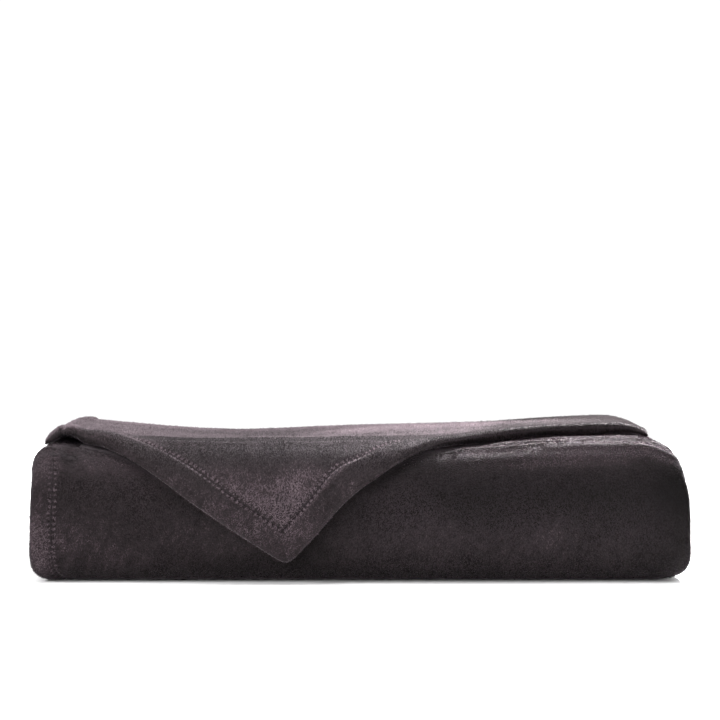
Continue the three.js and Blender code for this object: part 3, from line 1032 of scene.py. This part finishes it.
def top_layer_tone(across, depth, reach, upwards):
    """Painted light and shade in the pile of the top layer's outer face, beside its patches."""
    on_hem = smoothstep(past_hem_edge(across, reach), *HEM_INSIDE)
    rounding = smoothstep(reach, *ROUNDING_FROM) * (1 - smoothstep(reach, *ROUNDING_TO))
    rounding *= between(across, *ROUNDING_ACROSS)
    right_end = smoothstep(across, *RIGHT_END_ACROSS) * smoothstep(depth, *RIGHT_END_DEPTH)
    tone = TOP_PAINTED_LIGHT + FLAP_PAINTED_LIGHT * smoothstep(reach, *HANGING_REACH)
    tone -= ROUNDING_PAINTED_SHADE * rounding + RIGHT_END_PAINTED_SHADE * right_end
    tone -= HEM_PAINTED_SHADE * on_hem
    on_ridge = ridge_rise(RIDGES, across, depth) - PAINTED_LIGHT_FROM_RISE
    return tone + RIDGES_PAINTED_HIGHLIGHT * upwards * on_ridge


def lower_tone(across, depth, height, reach, upwards):
    """The painted light, shade and shadow of the front, and of the ledge that the layer below the
    corner forms.
    """
    ledge = LEDGE_AT_LEFT + LEDGE_TO_RIGHT * smoothstep(across, *LEDGE_ACROSS)
    edge = smoothstep(across, *EDGE_ACROSS) * smoothstep(reach, *FRONT_REACH)
    tone = LEDGE_PAINTED_LIGHT * upwards * ledge - TOP_PAINTED_LIGHT
    tone -= LEE_PAINTED_SHADOW * painted_shadow_share(across, reach) * (1 - upwards)
    tone -= FRONT_RIGHT_PAINTED_SHADE * painted_shade_band(across, height) + EDGE_PAINTED_SHADE * edge
    on_crease = crease_rise(across, depth) - PAINTED_LIGHT_FROM_RISE
    return tone + CREASES_PAINTED_LIGHT * upwards * on_crease


def pile_tone(places, facing_up, top_layer):
    """How light the pile is at each place: uneven in patches, with painted light and shade."""
    across, depth, height = places.T / MM
    upwards = smoothstep(facing_up, *LOOKS_UP)
    reach = reach_of(depth, height)
    tone = (1 - PATCHES_FADE * upwards) * patch_tone(across, depth, height)
    tone += np.where(
        top_layer,
        top_layer_tone(across, depth, reach, upwards),
        lower_tone(across, depth, height, reach, upwards),
    )
    tone += FOOT_PAINTED_LIGHT * hill(height, *FOOT)
    tone += STRIP_IS_LIGHTER * (across < ENDS[:, 1].min() + SIDE_HEM_WIDTH)
    return tone + LEFT_PAINTED_LIGHT * smoothstep(-across, *LEFT_ACROSS)


def bead_tone(away, stitches):
    """Beside a line of sewing the pile gets painted highlights as beads, and a painted darker pit at
    each stitch.
    """
    along = BEADS_JOIN + np.cos(2 * np.pi * stitches)
    return BEADS_PAINTED_HIGHLIGHT * hill(away, BEADS_AWAY, BEADS_WITHIN) * along


def make_pile(cloth, top_corners):
    """Tufts in a few colours, from the darkest tone to the lightest."""
    rng = np.random.default_rng(PILE_SEED)
    places, facing, on_top = tuft_places(cloth, top_corners, rng)
    away, stitches = seam_distance(places)
    clear = away > CLEAR_OF_SEAM * (1 - PITS_AT_STITCHES * np.cos(2 * np.pi * stitches))
    places, facing, on_top, away, stitches = (
        values[clear] for values in (places, facing, on_top, away, stitches)
    )
    tone = pile_tone(places, facing[:, 2], on_top > 0) + bead_tone(away, stitches)
    order = np.argsort(tone + rng.normal(0, CHANCE_IN_TONE, len(tone)))
    corners, shading = tuft_points(places, facing, on_top, rng)
    lasts = np.cumsum([share for _, _, _, share in PILE_TONES])[:-1] * len(order)
    pieces = []
    for (name, colour, sheen, _), chosen in zip(PILE_TONES, np.split(order, lasts.astype(int))):
        triangles = np.arange(len(chosen) * 3).reshape(-1, 3)
        points, normals = corners[chosen].reshape(-1, 3), shading[chosen].reshape(-1, 3)
        material = fibre_material(name, colour, sheen)
        pieces.append(triangle_mesh(name, points, triangles, material, normals))
    return pieces


def shade_sheet(mesh, top_corners):
    """Paints shade into the cloth itself, as into its pile: a painted shadow beside the corner, painted
    shade on the front.
    """
    across, depth, height = read_values(mesh.vertices, "co").T / MM
    reach = reach_of(depth, height)
    share = LEE_SHADE * painted_shadow_share(across, reach) * smoothstep(reach, *LEE_STARTS)
    front = BAND_SHADE * painted_shade_band(across, height) + EDGE_SHADE * smoothstep(across, *EDGE_ACROSS)
    share = np.minimum(share + front * smoothstep(reach, *FRONT_REACH), 1)
    share[:top_corners] = 0
    shade = mesh.attributes.new("shade", "FLOAT", "POINT")
    shade.data.foreach_set("value", share.astype(np.float32))


def make_blanket():
    points, polygons, top_corners = sheet_mesh()
    blanket = polygon_mesh("fleece_blanket", points, polygons, fleece_material())
    shade_sheet(blanket.data, top_corners)
    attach(blanket, "root")
    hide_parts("blanket")
    on_it = [make_stitches(), *make_pile(blanket, top_corners)]


# The photograph's frame: 720 pixels a side, 0.92 mm a pixel at the front of the parcel
FRAME_PIXELS = 720
PIXEL = 0.92 * MM
FLOOR_LINE = 584  # the pixel row where the floor meets the front face's plane
CAMERA_AWAY = 2.2  # from the front of the parcel
CAMERA_HEIGHT = 0.262
SENSOR = 36  # millimetres, as Blender measures it

FLOOR_HALF = 6
FLOOR_COLOUR = (0.94, 0.94, 0.94, 1)
FLOOR_ROUGHNESS = 0.9
WORLD_COLOUR = (1, 1, 1, 1)
WORLD_STRENGTH = 1.08
# Lamps: name, place, target, power, size, spread in degrees
LAMPS = [
    ("behind", (0, 1.9, 0.55), (0, 0, 0.1), 66, (2.4, 0.5), 180),
    ("overhead", (0.1, -0.2, 1.5), (0, -0.15, 0.1), 28, (1.2, 0.3), 180),
    ("from_left", (-1.0, -0.55, 0.6), (-0.1, -0.15, 0.08), 6, (0.25, 0.25), 180),
    ("from_right", (0.5, 0.45, 0.7), (0.24, -0.15, 0.12), 9, (0.2, 0.2), 50),
]


def aim(thing, place, target):
    """Puts a camera or lamp at a place, looking at a target."""
    thing.location = place
    way = Vector(target) - Vector(place)
    thing.rotation_euler = way.to_track_quat("-Z", "Y").to_euler()


def make_camera():
    front = to_frame([0, FRONT, 0])[1]
    data = bpy.data.cameras.new("camera")
    data.sensor_width = SENSOR
    data.lens = SENSOR * CAMERA_AWAY / (FRAME_PIXELS * PIXEL)
    camera = link_piece("camera", data)
    looks_at = (0, front, (FLOOR_LINE - FRAME_PIXELS / 2) * PIXEL)
    aim(camera, (0, front - CAMERA_AWAY, CAMERA_HEIGHT), looks_at)
    bpy.context.scene.camera = camera


def make_lamp(name, place, target, power, size, spread):
    data = bpy.data.lights.new(name, "AREA")
    data.spread = math.radians(spread)
    data.shape = "RECTANGLE"
    data.size, data.size_y = size
    data.energy = power
    aim(link_piece(name, data), place, target)


def make_floor():
    half = FLOOR_HALF
    corners = [(-half, -half, 0), (half, -half, 0), (half, half, 0), (-half, half, 0)]
    mesh = bpy.data.meshes.new("floor")
    mesh.from_pydata(corners, [], [(0, 1, 2, 3)])
    finish = {"Base Color": FLOOR_COLOUR, "Roughness": FLOOR_ROUGHNESS}
    mesh.materials.append(new_material("pale_floor", finish)[0])
    link_piece("floor", mesh)


def make_studio():
    make_floor()
    world = bpy.data.worlds.new("studio")
    world.use_nodes = True
    background = world.node_tree.nodes["Background"]
    background.inputs["Color"].default_value = WORLD_COLOUR
    background.inputs["Strength"].default_value = WORLD_STRENGTH
    bpy.context.scene.world = world
    for lamp in LAMPS:
        make_lamp(*lamp)
    bpy.context.scene.view_settings.view_transform = "Standard"


make_camera()
make_blanket()
make_studio()
